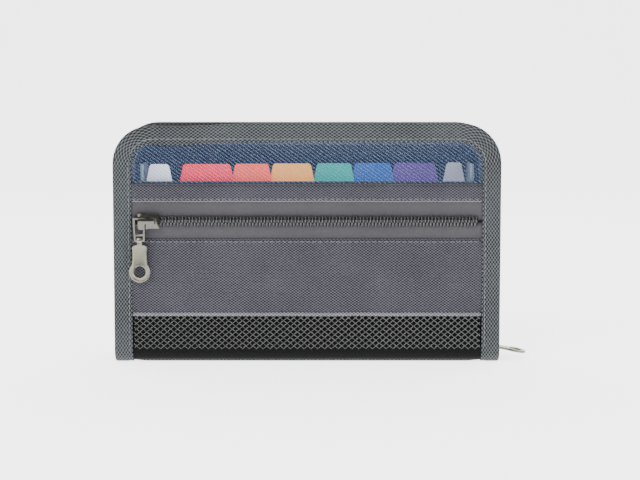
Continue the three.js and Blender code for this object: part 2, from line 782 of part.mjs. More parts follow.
function makeSheet(order, tab) {
  const y0 = SHEET_FRONT_Y + order * SHEET_PITCH - SHEET / 2;
  const points = troughTurns().map(
    ({ x, z, inX, inZ }) => [x + inX * SHEET_CLEAR, z + inZ * SHEET_CLEAR],
  );
  points.push([SHEET_HALF, SHEET_TOP]);
  if (tab) {
    const [left, right] = tab.map((share) => share * SHEET_HALF);
    points.push(
      [right, SHEET_TOP],
      [right - TAB_SLANT, TAB_TOP - 1],
      [right - TAB_SLANT - 1, TAB_TOP],
      [left + TAB_SLANT + 1, TAB_TOP],
      [left + TAB_SLANT, TAB_TOP - 1],
      [left, SHEET_TOP],
    );
  }
  points.push([-SHEET_HALF, SHEET_TOP]);
  return plateXZ(polygon(points), y0, y0 + SHEET);
}

// Materials
function surface(color, roughness, metalness = 0, extra = {}) {
  return new THREE.MeshStandardMaterial({ color, roughness, metalness, ...extra });
}

const clear = { transparent: true, opacity: 0.35 };
const BINDING = surface(0x5f6366, 0.9);
const OXFORD = surface(0x62636b, 0.85);
const LINING_CLOTH = surface(0x6b6b6e, 0.9);
const TAPE_CLOTH = surface(0x75757a, 0.9);
const COIL = surface(0x4a4a4f, 0.45);
const METAL = surface(0x9a9a92, 0.3, 1);
const NET = surface(0x1c1e1f, 0.55);
const CLEAR_FILM = surface(0x8fa6c4, 0.15, 0, clear);
const FROSTED = surface(0x8a95a2, 0.4, 0, clear);

// Tabs: colour, and left and right side as shares of half a sheet, from front to rear
const TABS = [
  ['white_front', 0xbbc3cf, -0.995, -0.823],
  ['red', 0xd56d79, -0.792, -0.446],
  ['orange', 0xde8d79, -0.474, -0.212],
  ['yellow', 0xe6c291, -0.239, 0.05],
  ['green', 0x4daaa5, 0.034, 0.299],
  ['blue', 0x587db0, 0.27, 0.548],
  ['purple', 0x826ea1, 0.519, 0.826],
  ['white_rear', 0xa0a7b2, 0.849, 0.995],
];

const file = new THREE.Group();

function place(name, geometry, material, parent = file) {
  const mesh = new THREE.Mesh(geometry, material);
  mesh.name = name;
  parent.add(mesh);
  return mesh;
}

// Cover
place('binding', makeBinding(), BINDING);
place('outer_fabric', makeOuterFabric(), OXFORD);
place('cover_lining', makeLining(), LINING_CLOTH);
const TAPE_TOP = POCKET_ZIP_Z + TAPE_VISIBLE + TAPE_TUCK;
const filmFoot = TAPE_TOP + FIT_GAP;
place('window_film', frontLayer(UNDER_DEPTH, FILM, Math.max(filmFoot, SILL_TOP - FILM_TUCK), HEIGHT),
  CLEAR_FILM);
place('window_sill_strip', frontLayer(SKIN_DEPTH, CLOTH, SILL_BOTTOM, SILL_TOP), OXFORD);
place('pocket_panel', frontLayer(SKIN_DEPTH, CLOTH, PANEL_BOTTOM, PANEL_TOP), OXFORD);
place('mesh_pocket', makeMeshPocket(), NET);
place('mesh_hem', makeMeshHem(), OXFORD);

// Pocket zip
const slit = TAPE_SLIT / 2;
const TAPE_FOOT = PANEL_TOP - TAPE_TUCK;
place('pocket_zip_tape_upper', frontLayer(UNDER_DEPTH, ZIP_TAPE, POCKET_ZIP_Z + slit, TAPE_TOP),
  TAPE_CLOTH);
place('pocket_zip_tape_lower', frontLayer(UNDER_DEPTH, ZIP_TAPE, TAPE_FOOT, POCKET_ZIP_Z - slit),
  TAPE_CLOTH);
place('pocket_zip_coil_upper', makePocketCoil(1), COIL);
place('pocket_zip_coil_lower', makePocketCoil(-1), COIL);

// Pocket slider with its link and pull, hanging on the bail's post
const pocketRunner = new THREE.Group();
pocketRunner.position.set(POCKET_SLIDER_X, TAPE_FACE_Y, POCKET_ZIP_Z);
file.add(pocketRunner);
place('pocket_slider', makeSlider(), METAL, pocketRunner);
const LINK_LIFT = BAIL_POST_RADIUS + FIT_GAP + LINK_BAR / 2;
const pocketHanger = new THREE.Group();
pocketHanger.position.set(BAIL_POST_X, -LINK_DEPTH, LINK_LIFT);
pocketRunner.add(pocketHanger);
place('pocket_link', makeLink(), METAL, pocketHanger);
place('pocket_pull', makePull(), METAL, pocketHanger).position.z = -LINK_LENGTH;

// Main zip
place('main_zip_tape_front', makeMainTape(-1, FRONT_STACK), TAPE_CLOTH);
place('main_zip_tape_back', makeMainTape(1, BACK_STACK), TAPE_CLOTH);
place('main_zip_coil_front', makeMainCoil(-1), COIL);
place('main_zip_coil_back', makeMainCoil(1), COIL);

// Main slider at the foot of the right side, its wide end down
const mainRunner = new THREE.Group();
mainRunner.position.set(HALF_WIDTH - MAIN_TAPE_U, 0, MAIN_SLIDER_Z);
file.add(mainRunner);
const mainSlider = place('main_slider', makeSlider(), METAL, mainRunner);
mainSlider.quaternion.setFromRotationMatrix(new THREE.Matrix4().makeBasis(
  new THREE.Vector3(0, 0, 1),
  new THREE.Vector3(-1, 0, 0),
  new THREE.Vector3(0, -1, 0),
));
const mainHanger = new THREE.Group();
mainHanger.position.set(LINK_DEPTH, 0, BAIL_POST_X + LINK_LIFT);
mainHanger.rotation.z = Math.PI / 2;
mainRunner.add(mainHanger);
place('main_link', makeLink(), METAL, mainHanger);
const mainPull = place('main_pull', makePull(), METAL, mainHanger);
mainPull.position.z = -LINK_LENGTH;
mainPull.rotation.x = THREE.MathUtils.degToRad(-MAIN_PULL_ANGLE);

// Accordion
place('bellows', makeBellows(), FROSTED);
place('front_sheet', makeSheet(0, null), FROSTED);
TABS.forEach(([name, color, left, right], i) => {
  place(`divider_${name}`, makeSheet(i + 1, [left, right]), surface(color, 0.5));
});
place('rear_sheet', makeSheet(SHEET_COUNT - 1, null), FROSTED);

export default file;
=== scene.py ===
# %% [markdown]
# # A zipped expanding file in woven cloth
# This lesson dresses a small expanding file: a cover of grey cloth with bound rims, a clear window
# over coloured index tabs, a zipped pocket and a net pocket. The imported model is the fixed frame.
# It gives every piece its place, so this script only adds what the eye expects of cloth, nylon,
# film and plated metal. Lengths are in metres, and MM turns millimetres into them.

# %% Load the frame
import math

import bmesh
import bpy
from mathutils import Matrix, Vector, noise


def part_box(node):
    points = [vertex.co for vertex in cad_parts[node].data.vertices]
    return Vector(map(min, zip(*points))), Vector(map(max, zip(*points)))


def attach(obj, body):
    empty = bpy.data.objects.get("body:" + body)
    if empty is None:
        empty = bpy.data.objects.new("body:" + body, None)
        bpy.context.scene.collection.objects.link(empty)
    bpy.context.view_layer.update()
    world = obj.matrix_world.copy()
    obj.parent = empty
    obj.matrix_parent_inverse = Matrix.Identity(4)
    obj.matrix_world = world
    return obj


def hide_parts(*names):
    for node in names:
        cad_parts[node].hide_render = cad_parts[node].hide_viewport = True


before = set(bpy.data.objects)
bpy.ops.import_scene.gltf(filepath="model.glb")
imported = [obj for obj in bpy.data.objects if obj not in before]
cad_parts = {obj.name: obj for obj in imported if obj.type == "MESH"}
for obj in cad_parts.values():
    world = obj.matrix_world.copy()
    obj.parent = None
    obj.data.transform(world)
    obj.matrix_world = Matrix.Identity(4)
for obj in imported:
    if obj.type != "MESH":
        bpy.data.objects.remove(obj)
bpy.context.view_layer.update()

MM = 0.001

# %% [markdown]
# ## Sizes that the frame gives
# The bound rim gives the width, the height and the depth of the closed file. Measuring it here, and
# not typing the numbers again, keeps the cloth on the frame if a size changes. The walls and widths
# of the tape and the cloth are set here, and each has one name.

# %% Read the main sizes
rim_low, rim_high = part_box("binding")
HALF_WIDTH = rim_high[0]
HEIGHT = rim_high[2]
FRONT_Y = rim_low[1]
BACK_Y = rim_high[1]
CORNER = 21 * MM
BEND = 6 * MM
TAPE_WALL = 0.7 * MM
TAPE_WIDTH = 9.5 * MM
CLOTH = 0.5 * MM
FRONT_STACK = 4.9 * MM
BOTTOM_STACK = 2.7 * MM
BACK_STACK = 3.2 * MM
EDGE_INSET = 1.2 * MM
INNER_HALF = HALF_WIDTH - TAPE_WIDTH
ZIP_TAPE_U = TAPE_WIDTH + 0.3 * MM
ZIP_TAPE_WALL = 0.5 * MM
print("cover:", [round(v / MM, 1) for v in (HALF_WIDTH * 2, HEIGHT, BACK_Y - FRONT_Y)], "mm")

# %% [markdown]
# ## A skin over rings
# Binding, tape, cloth and strands are all one section carried along a path. A curve with a bevel
# could make them, but it can't change its section on the way or keep a true measure of the cloth.
# So one helper joins rings of points into a closed mesh, and writes a map named cloth in metres,
# along the path and round the section. The weave is drawn on that map, so threads keep their size
# and follow every bend.

# %% Helper: skin
def skin(name, rings, closed=False, along=None):
    count = len(rings[0])
    mesh = bpy.data.meshes.new(name)
    vertices = [tuple(point) for ring in rings for point in ring]
    if along is None:
        along = [0.0]
        for before, after in zip(rings, rings[1:]):
            along.append(along[-1] + (after[0] - before[0]).length)
    gap = (rings[0][0] - rings[-1][0]).length
    faces = []
    marks = []
    spans = len(rings) if closed else len(rings) - 1
    for i in range(spans):
        here, there = i * count, ((i + 1) % len(rings)) * count
        u0 = along[i]
        u1 = along[i + 1] if i + 1 < len(rings) else along[-1] + gap
        v = 0.0
        for j in range(count):
            k = (j + 1) % count
            step = (rings[i][k] - rings[i][j]).length
            faces.append((here + j, here + k, there + k, there + j))
            marks.append(((u0, v), (u0, v + step), (u1, v + step), (u1, v)))
            v += step
    if not closed:
        for ring_index, order in ((0, range(count - 1, -1, -1)), (len(rings) - 1, range(count))):
            faces.append([ring_index * count + j for j in order])
            marks.append([(0.0, 0.0)] * count)
    mesh.from_pydata(vertices, [], faces)
    cloth = mesh.uv_layers.new(name="cloth")
    flat = [value for mark in marks for pair in mark for value in pair]
    cloth.data.foreach_set("uv", flat)
    return finish_mesh(name, mesh)


def add_object(name, data):
    holder = bpy.data.objects.new(name, data)
    bpy.context.scene.collection.objects.link(holder)
    return holder


def flatten_map(piece):
    mesh = piece.data
    cloth = mesh.uv_layers.get("cloth") or mesh.uv_layers.new(name="cloth")
    flat = []
    for loop in mesh.loops:
        point = mesh.vertices[loop.vertex_index].co
        flat += [point.x, point.y + point.z]
    cloth.data.foreach_set("uv", flat)
    return piece


def finish_mesh(name, mesh):
    work = bmesh.new()
    work.from_mesh(mesh)
    bmesh.ops.recalc_face_normals(work, faces=work.faces)
    for face in work.faces:
        face.smooth = True
    work.to_mesh(mesh)
    work.free()
    return add_object(name, mesh)


def join(name, pieces):
    work = bmesh.new()
    for piece in pieces:
        work.from_mesh(piece.data)
    mesh = bpy.data.meshes.new(name)
    work.to_mesh(mesh)
    work.free()
    for piece in pieces:
        bpy.data.objects.remove(piece)
    return add_object(name, mesh)


def place(piece, body, slot, material, *nodes):
    piece.data.materials.clear()
    piece.data.materials.append(material)
    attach(piece, body)
    if nodes:
        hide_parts(*nodes)
    print(piece.name, "has", len(piece.data.polygons), "faces and rides on", body)
    return piece

# %% [markdown]
# ## Weave as a shared effect
# Grey oxford cloth and binding tape are both plain weaves: small raised crossings in staggered
# rows, of different pitch. An image would stretch round the corners. Two crossed sine waves on the
# cloth map give the staggered rows at any scale, and a little noise keeps them from looking
# printed. The group puts out a height for the bump and a mask for the colour. The mask is that
# height plus the noise. So the colour carries painted shade in the low places between the crossings
# and a painted highlight on their tops, and the noise adds uneven tone. A second group draws the
# slanted lines of the window's film.

# %% Helper: node groups
def new_group(name, inputs, outputs):
    group = bpy.data.node_groups.new(name, "ShaderNodeTree")
    for label, value in inputs.items():
        socket = group.interface.new_socket(label, in_out="INPUT", socket_type="NodeSocketFloat")
        socket.default_value = value
    for label in outputs:
        group.interface.new_socket(label, in_out="OUTPUT", socket_type="NodeSocketFloat")
    start = group.nodes.new("NodeGroupInput")
    end = group.nodes.new("NodeGroupOutput")
    return group, start, end


def math_node(tree, operation, first, second=None, third=None, clamp=False):
    node = tree.nodes.new("ShaderNodeMath")
    node.operation = operation
    node.use_clamp = clamp
    for socket, value in zip(node.inputs, (first, second, third)):
        if value is None:
            continue
        if isinstance(value, (int, float)):
            socket.default_value = value
        else:
            tree.links.new(value, socket)
    return node.outputs[0]


def cloth_map(tree):
    node = tree.nodes.new("ShaderNodeUVMap")
    node.uv_map = "cloth"
    split = tree.nodes.new("ShaderNodeSeparateXYZ")
    tree.links.new(node.outputs[0], split.inputs[0])
    return split.outputs[0], split.outputs[1]


def object_noise(tree, scale, detail=3.0):
    place_node = tree.nodes.new("ShaderNodeTexCoord")
    node = tree.nodes.new("ShaderNodeTexNoise")
    node.inputs["Scale"].default_value = scale
    node.inputs["Detail"].default_value = detail
    tree.links.new(place_node.outputs["Object"], node.inputs["Vector"])
    return node.outputs["Fac"]


STEEPNESS = 0.75
SPECKLE_SCALE = 900.0
PATCH_SCALE = 45.0


def build_weave():
    group, start, end = new_group(
        "staggered weave", {"Along": 0.8, "Across": 0.6, "Uneven": 0.3}, ["Mask", "Height"])
    u, v = cloth_map(group)
    turns = []
    for coordinate, label in ((u, "Along"), (v, "Across")):
        pitch = math_node(group, "MULTIPLY", start.outputs[label], MM)
        phase = math_node(group, "DIVIDE", coordinate, pitch)
        turns.append(math_node(group, "SINE", math_node(group, "MULTIPLY", phase, math.pi)))
    crossing = math_node(group, "MULTIPLY", turns[0], turns[1])
    height = math_node(group, "MULTIPLY_ADD", crossing, STEEPNESS, 0.5, clamp=True)
    speckle = object_noise(group, SPECKLE_SCALE, detail=1.0)
    patch = object_noise(group, PATCH_SCALE, detail=4.0)
    wander = math_node(group, "ADD", speckle, patch)
    wander = math_node(group, "SUBTRACT", wander, 1.0)
    wander = math_node(group, "MULTIPLY", wander, start.outputs["Uneven"])
    # Colour mask: the height paints shade between the crossings and a highlight on their tops, and
    # the noise adds uneven tone.
    mask = math_node(group, "ADD", height, wander, clamp=True)
    group.links.new(mask, end.inputs["Mask"])
    group.links.new(height, end.inputs["Height"])
    return group


def build_lines():
    group, start, end = new_group(
        "slanted lines", {"Pitch": 1.9, "Slope": 0.727, "Width": 0.15}, ["Mask"])
    u, v = cloth_map(group)
    lean = math_node(group, "MULTIPLY", u, start.outputs["Slope"])
    slant = math_node(group, "ADD", lean, v)
    pitch = math_node(group, "MULTIPLY", start.outputs["Pitch"], MM)
    wave = math_node(group, "SINE", math_node(
        group, "MULTIPLY", math_node(group, "DIVIDE", slant, pitch), 2 * math.pi))
    mask = math_node(group, "ADD", wave, start.outputs["Width"], clamp=True)
    group.links.new(mask, end.inputs["Mask"])
    return group


WEAVE = build_weave()
LINES = build_lines()
print("node groups:", WEAVE.name, "and", LINES.name)

# %% [markdown]
# ## The finishes
# Each material keeps its own shader. The groups only feed its colour, its alpha and its bump.
# Cloth gets a soft sheen, because loose fibres catch light at a slant. Nylon is smooth and dark.
# The metal is dark nickel: glossy on the slider, more satin on the pull, with a faint grain. The
# tab films glow a little, and the frosted film faintly: painted light, in place of the light that
# passes through thin film.

# %% Helper: materials
def new_material(name, roughness, metallic=0.0):
    material = bpy.data.materials.new(name)
    material.use_nodes = True
    shader = material.node_tree.nodes["Principled BSDF"]
    shader.inputs["Roughness"].default_value = roughness
    shader.inputs["Metallic"].default_value = metallic
    return material, material.node_tree, shader


def linear(red, green, blue):
    def channel(value):
        value /= 255
        return value / 12.92 if value <= 0.04045 else ((value + 0.055) / 1.055) ** 2.4
    return (channel(red), channel(green), channel(blue), 1.0)


def two_tones(tree, mask, colour, share):
    deep = linear(*(channel * share for channel in colour))
    return blend_colours(tree, mask, deep, linear(*colour))


def blend_colours(tree, mask, dark, light):
    node = tree.nodes.new("ShaderNodeMix")
    node.data_type = "RGBA"
    node.inputs["A"].default_value = dark
    node.inputs["B"].default_value = light
    tree.links.new(mask, node.inputs["Factor"])
    return node.outputs["Result"]


def add_bump(tree, shader, height, distance, strength):
    node = tree.nodes.new("ShaderNodeBump")
    node.inputs["Distance"].default_value = distance
    node.inputs["Strength"].default_value = strength
    tree.links.new(height, node.inputs["Height"])
    tree.links.new(node.outputs["Normal"], shader.inputs["Normal"])


CLOTH_ROUGHNESS = 0.82
CLOTH_SHINE = 0.15
CLOTH_UNEVEN = 0.35
FIBRE_SPREAD = 0.5
FILM_ROUGHNESS = 0.35
FILM_GRAIN = 0.05 * MM
NYLON_COAT = 0.4


def cloth_material(name, dark, light, along, across, bump=0.12, sheen=0.08):
    material, tree, shader = new_material(name, CLOTH_ROUGHNESS)
    shader.inputs["Specular IOR Level"].default_value = CLOTH_SHINE
    shader.inputs["Sheen Weight"].default_value = sheen
    shader.inputs["Sheen Roughness"].default_value = FIBRE_SPREAD
    weave = tree.nodes.new("ShaderNodeGroup")
    weave.node_tree = WEAVE
    weave.inputs["Along"].default_value = along
    weave.inputs["Across"].default_value = across
    weave.inputs["Uneven"].default_value = CLOTH_UNEVEN
    # Dark is the painted shade between the crossings, and light is the painted highlight on them.
    colour = blend_colours(tree, weave.outputs["Mask"], linear(*dark), linear(*light))
    tree.links.new(colour, shader.inputs["Base Color"])
    add_bump(tree, shader, weave.outputs["Height"], bump * MM, strength=0.7)
    return material


def film_material(name, colour, alpha, painted_glow):
    material, tree, shader = new_material(name, FILM_ROUGHNESS)
    patch = object_noise(tree, scale=60.0)
    tree.links.new(two_tones(tree, patch, colour, share=0.88), shader.inputs["Base Color"])
    shader.inputs["Alpha"].default_value = alpha
    # Emission is painted light: it stands in for light that passes through the film.
    shader.inputs["Emission Color"].default_value = linear(*colour)
    shader.inputs["Emission Strength"].default_value = painted_glow
    grain = object_noise(tree, scale=1500.0, detail=1.0)
    add_bump(tree, shader, grain, FILM_GRAIN, strength=0.3)
    return material


GRAIN_SPREAD = 0.25
GRAIN_MIDDLE = 0.12


def metal_material(name, colour, roughness):
    material, tree, shader = new_material(name, roughness, metallic=1.0)
    grain = object_noise(tree, scale=700.0, detail=4.0)
    tree.links.new(two_tones(tree, grain, colour, share=0.8), shader.inputs["Base Color"])
    least = roughness - GRAIN_MIDDLE
    spread = math_node(tree, "MULTIPLY_ADD", grain, GRAIN_SPREAD, least)
    tree.links.new(spread, shader.inputs["Roughness"])
    add_bump(tree, shader, grain, 0.01 * MM, strength=0.12)
    return material


def nylon_material(name, colour, roughness):
    material, tree, shader = new_material(name, roughness)
    patch = object_noise(tree, scale=300.0)
    tree.links.new(two_tones(tree, patch, colour, share=0.7), shader.inputs["Base Color"])
    shader.inputs["Coat Weight"].default_value = NYLON_COAT
    shader.inputs["Coat Roughness"].default_value = 0.15
    return material


WINDOW_SHINE = 0.12
CLEAR_BLUE = linear(56, 78, 116)
LINE_BLUE = linear(130, 152, 190)
CLEAR_ALPHA = 0.05
LINE_ALPHA = 0.1


def window_material():
    material, tree, shader = new_material("clear lined film", FILM_ROUGHNESS)
    shader.inputs["Specular IOR Level"].default_value = WINDOW_SHINE
    lines = tree.nodes.new("ShaderNodeGroup")
    lines.node_tree = LINES
    colour = blend_colours(tree, lines.outputs["Mask"], CLEAR_BLUE, LINE_BLUE)
    tree.links.new(colour, shader.inputs["Base Color"])
    alpha = math_node(tree, "MULTIPLY_ADD", lines.outputs["Mask"], LINE_ALPHA, CLEAR_ALPHA)
    tree.links.new(alpha, shader.inputs["Alpha"])
    add_bump(tree, shader, lines.outputs["Mask"], 0.004 * MM, strength=0.1)
    return material


BINDING = cloth_material("binding tape", (2, 3, 4), (82, 86, 89), 1.15, 0.8, bump=0.3)
OXFORD = cloth_material("oxford cloth", (4, 4, 7), (80, 79, 88), 0.95, 0.7, bump=0.25)
SELVEDGE = cloth_material("zip tape cloth", (42, 42, 45), (80, 78, 82), 0.5, 0.4, bump=0.06)
# A lighter copy of the oxford cloth: painted highlight for round folds that face the light.
FOLD_HIGHLIGHT = cloth_material("fold cloth with painted highlight", (40, 40, 44), (128, 127, 134), 0.95, 0.7)
LINING = cloth_material("lining cloth", (30, 31, 34), (74, 76, 82), 0.5, 0.4, bump=0.08)
THREAD = nylon_material("sewing thread", (112, 117, 124), 0.6)
COIL = nylon_material("nylon coil", (40, 40, 44), 0.14)
NET = nylon_material("net cord", (22, 24, 25), 0.14)
# Near black: the net's dark backing, and painted shade where it turns under the bottom edge.
NET_BACK_WITH_SHADE = cloth_material("net backing with painted shade", (1, 1, 1), (6, 7, 7), 0.7, 0.5, sheen=0.0)
WINDOW = window_material()
NICKEL = metal_material("dark nickel", (100, 98, 93), 0.16)
SATIN = metal_material("satin nickel", (128, 127, 113), 0.3)
FROST = film_material("frosted film", (150, 163, 178), alpha=0.62, painted_glow=0.04)
print("materials:", len(bpy.data.materials))

# %% [markdown]
# ## The rim as a path
# Binding, zip tapes and coils all follow the rim of a cover. One function gives its stations: the
# place on the outer edge, the way inwards and the way through the thickness. Straight runs get
# stations too, because cloth needs points between its ends to look sewn and not ruled.

# %% Helper: rim stations
CORNER_STEPS = 14
BEND_STEPS = 8
RUN_STEP = 3 * MM


def run(start, end):
    steps = max(1, round(abs(end - start) / RUN_STEP))
    return [start + (end - start) * i / steps for i in range(1, steps)]


def rim(side, foot):
    y = FRONT_Y if side < 0 else BACK_Y
    through = Vector((0, -side, 0))
    top = HEIGHT - CORNER
    reach = HALF_WIDTH - CORNER
    stations = [(Vector((-HALF_WIDTH, y, z)), Vector((1, 0, 0))) for z in [foot] + run(foot, top)]
    for turn in (-1, 1):
        centre = Vector((turn * reach, y, top))
        for i in range(CORNER_STEPS + 1):
            share = i / CORNER_STEPS * math.pi / 2
            angle = math.pi - share if turn < 0 else math.pi / 2 - share
            out = Vector((math.cos(angle), 0, math.sin(angle)))
            stations.append((centre + out * CORNER, -out))
        if turn < 0:
            stations += [(Vector((x, y, HEIGHT)), Vector((0, 0, -1))) for x in run(-reach, reach)]
    stations += [(Vector((HALF_WIDTH, y, z)), Vector((-1, 0, 0))) for z in run(top, foot) + [foot]]
    return [(origin, inward, through) for origin, inward in stations]


def under(side):
    stations = []
    for i in range(1, BEND_STEPS + 1):
        share = i / BEND_STEPS
        angle = share * math.pi / 2
        y = FRONT_Y + BEND * (1 - math.cos(angle))
        z = BEND * (1 - math.sin(angle))
        stations.append((y, z, math.cos(angle), math.sin(angle), share, 0.0))
    for y in run(FRONT_Y + BEND, BACK_Y - BEND):
        stations.append((y, 0.0, 0.0, 1.0, 1.0, 0.0))
    for i in range(BEND_STEPS):
        share = i / BEND_STEPS
        angle = share * math.pi / 2
        y = BACK_Y - BEND * (1 - math.sin(angle))
        z = BEND * (1 - math.cos(angle))
        stations.append((y, z, -math.sin(angle), math.cos(angle), 1.0, share))
    result = []
    for y, z, in_y, in_z, bottom, back in stations:
        stack = FRONT_STACK + (BOTTOM_STACK - FRONT_STACK) * bottom
        stack += (BACK_STACK - BOTTOM_STACK) * back
        place_at = Vector((side * HALF_WIDTH, y, z))
        result.append(((place_at, Vector((-side, 0, 0)), Vector((0, in_y, in_z))), stack))
    return result


def ring_at(station, section):
    origin, inward, through = station
    return [origin + inward * u + through * v for u, v in section]


print("stations:", len(rim(-1, BEND)), "along a rim and", len(under(1)), "under a side")

# %% [markdown]
# ## The binding
# A single tape is folded over both rims and runs under the sides, with no cut. It could be a
# bevelled curve, but then both legs would be as stiff as wire. Here the section has two soft legs
# that dip along the stitches, and it waves a little along its way. The front rim sits a little low
# near its upper left corner, as on the real cover.

# %% Make the binding
SAG = 1.7 * MM
SAG_X = -68 * MM
SAG_SPREAD = 26 * MM
WAVE = 0.14 * MM
WAVE_SCALE = 90
LEG_SHARES = (1.0, 0.985, 0.93, 0.86, 0.72, 0.55, 0.38, 0.22, 0.12)
STITCH_SHARE = 0.86
STITCH_DIP = 0.25 * MM
DIP_SPREAD = 0.04
CUT_EDGE = 0.22 * MM
MOST_PUFF = 0.12 * MM
ROUND_EDGE = [(0.45 * MM, 0.12 * MM), (0.12 * MM, 0.5 * MM), (0.0, 1.0 * MM)]


def tape_section(stack, puff):
    wall, width = TAPE_WALL, TAPE_WIDTH
    outer = []
    for share in LEG_SHARES:
        lift = puff * math.sin(math.pi * min(1.0, share * 1.1))
        lift -= STITCH_DIP * math.exp(-((share - STITCH_SHARE) / DIP_SPREAD) ** 2)
        edge = CUT_EDGE if share == 1.0 else 0.0
        outer.append((width * share, edge - lift))
    half = [(u, max(v, -MOST_PUFF)) for u, v in outer] + ROUND_EDGE
    mirrored = [(u, stack - v) for u, v in reversed(half)]
    inside = [(width, stack - wall), (wall * 1.4, stack - wall), (wall, stack - wall * 1.4),
              (wall, wall * 1.4), (wall * 1.4, wall), (width, wall)]
    return half + mirrored + inside


def make_binding():
    stations = [(s, FRONT_STACK) for s in rim(-1, BEND)] + under(1)
    stations += [(s, BACK_STACK) for s in reversed(rim(1, BEND))] + list(reversed(under(-1)))
    rings = []
    for station, stack in stations:
        origin, through = station[0], station[2]
        wander = noise.noise(origin * WAVE_SCALE)
        ring = ring_at(station, tape_section(stack, WAVE * (0.5 + wander)))
        if through.y > 0.5 and origin.z > HEIGHT / 2:
            fall = math.exp(-((origin.x - SAG_X) / SAG_SPREAD) ** 2) * SAG
            fall *= max(0.0, min(1.0, (origin.z - HEIGHT + CORNER) / CORNER))
            ring = [point - Vector((0, 0, fall)) for point in ring]
        rings.append(ring)
    return skin("bound_tape", rings, closed=True)


place(make_binding(), "cover", "binding_fabric", BINDING, "binding")

# %% [markdown]
# ## Rows of stitches
# A sewn line is many short threads that dip into the cloth at both ends. A dashed texture would
# stay flat in a glancing light, so each stitch is a small bent tube, and a row is one mesh.

# %% Helper: a row of stitches
STITCH = 2.4 * MM
STITCH_GAP = 0.7 * MM
THREAD_RADIUS = 0.2 * MM
STITCH_BEND = ((0.0, -1.2), (0.15, 0.3), (0.5, 0.7), (0.85, 0.3), (1.0, -1.2))


def tube(name, path, radius, sides=6, squash=1.0, flat_axis=None):
    rings = []
    for i, point in enumerate(path):
        ahead = path[min(i + 1, len(path) - 1)] - path[max(i - 1, 0)]
        ahead.normalize()
        reference = flat_axis or Vector((0, 0, 1))
        if abs(ahead.dot(reference)) > 0.95:
            reference = Vector((1, 0, 0))
        first = ahead.cross(reference).normalized()
        second = ahead.cross(first).normalized()
        rings.append([
            point + first * radius * math.cos(a) + second * radius * squash * math.sin(a)
            for a in (j / sides * 2 * math.pi for j in range(sides))
        ])
    return skin(name, rings)


def stitches(name, path, outward, slot):
    lengths = [0.0]
    for before, after in zip(path, path[1:]):
        lengths.append(lengths[-1] + (after - before).length)

    def at(distance):
        for i in range(1, len(lengths)):
            if lengths[i] >= distance:
                share = (distance - lengths[i - 1]) / (lengths[i] - lengths[i - 1])
                return path[i - 1].lerp(path[i], share)
        return path[-1]

    pieces = []
    start = 0.0
    while start + STITCH < lengths[-1]:
        points = [
            at(start + STITCH * share) + outward * THREAD_RADIUS * lift for share, lift in STITCH_BEND
        ]
        pieces.append(tube("stitch", points, THREAD_RADIUS, sides=5))
        start += STITCH + STITCH_GAP
    return place(join(name, pieces), "cover", slot, THREAD)


STITCH_U = TAPE_WIDTH - 1.4 * MM
for label, side in (("front", -1), ("back", 1)):
    path = [origin + inward * STITCH_U for origin, inward, through in rim(side, BEND)]
    stitches(f"binding_stitches_{label}", path, Vector((0, side, 0)), "binding_fabric")

# %% [markdown]
# ## Flat layers of cloth
# The strip under the window, the zip tapes, the pocket's front and its hem are cut pieces, sewn in
# at both sides. A plane would do from far away. Here each one is a thin closed body with rounded
# folds and shallow ripples, which grow towards the middle, where no seam holds the cloth.

# %% Helper: a sewn layer
SKIN_Y = FRONT_Y + TAPE_WALL
UNDER_Y = SKIN_Y + CLOTH
SIDE_TUCK = INNER_HALF + 4 * MM
GRID = 2.5 * MM
SEAM_HOLD = 12 * MM
FOLD_BACK = 0.35


def layer(name, bottom, top, y, thickness, ripple, seed=0.0):
    half = SIDE_TUCK
    rows = max(4, round((top - bottom) / GRID))
    columns = max(2, round(half * 2 / GRID))
    rings = []
    for i in range(columns + 1):
        x = -half + 2 * half * i / columns
        hold_x = min(1.0, (half - abs(x)) / SEAM_HOLD)
        ring = []
        for j in range(rows + 1):
            share = j / rows
            z = bottom + (top - bottom) * share
            hold = hold_x * math.sin(math.pi * share)
            wave = noise.noise(Vector((x * 38 + seed, z * 60, seed)))
            wave += 0.5 * noise.noise(Vector((x * 120, z * 160 + seed, seed)))
            lift = ripple * hold * (0.6 + wave)
            if j in (0, rows):
                lift = -thickness * FOLD_BACK
            ring.append(Vector((x, y - lift, z)))
        back = [Vector((x, y + thickness, p.z)) for p in reversed(ring)]
        rings.append(ring + back)
    return skin(name, rings, along=[ring[0].x + half for ring in rings])


def node_z(node):
    low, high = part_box(node)
    return low[2], high[2]

# %% Make the layers of the front
SKIN_CLOTH = CLOTH * 0.9
TAPE_CLOTH = CLOTH * 0.8
STRIP_RIPPLE = 0.4 * MM
POCKET_RIPPLE = 0.9 * MM
strip_low, strip_high = node_z("window_sill_strip")
panel_low, panel_high = node_z("pocket_panel")
upper_low, upper_high = node_z("pocket_zip_tape_upper")
lower_low, lower_high = node_z("pocket_zip_tape_lower")
hem_low, hem_high = node_z("mesh_hem")
place(layer("sill_strip", strip_low, strip_high, SKIN_Y, SKIN_CLOTH, STRIP_RIPPLE),
      "cover", "oxford_fabric", OXFORD, "window_sill_strip")
place(layer("pocket_front", panel_low, panel_high, SKIN_Y, SKIN_CLOTH, POCKET_RIPPLE, seed=7.0),
      "cover", "oxford_fabric", OXFORD, "pocket_panel")
place(layer("zip_tape_above", upper_low, upper_high, UNDER_Y, TAPE_CLOTH, 0.0),
      "cover", "zip_tape", SELVEDGE, "pocket_zip_tape_upper")
place(layer("zip_tape_below", lower_low, lower_high, UNDER_Y, TAPE_CLOTH, 0.0),
      "cover", "zip_tape", SELVEDGE, "pocket_zip_tape_lower")

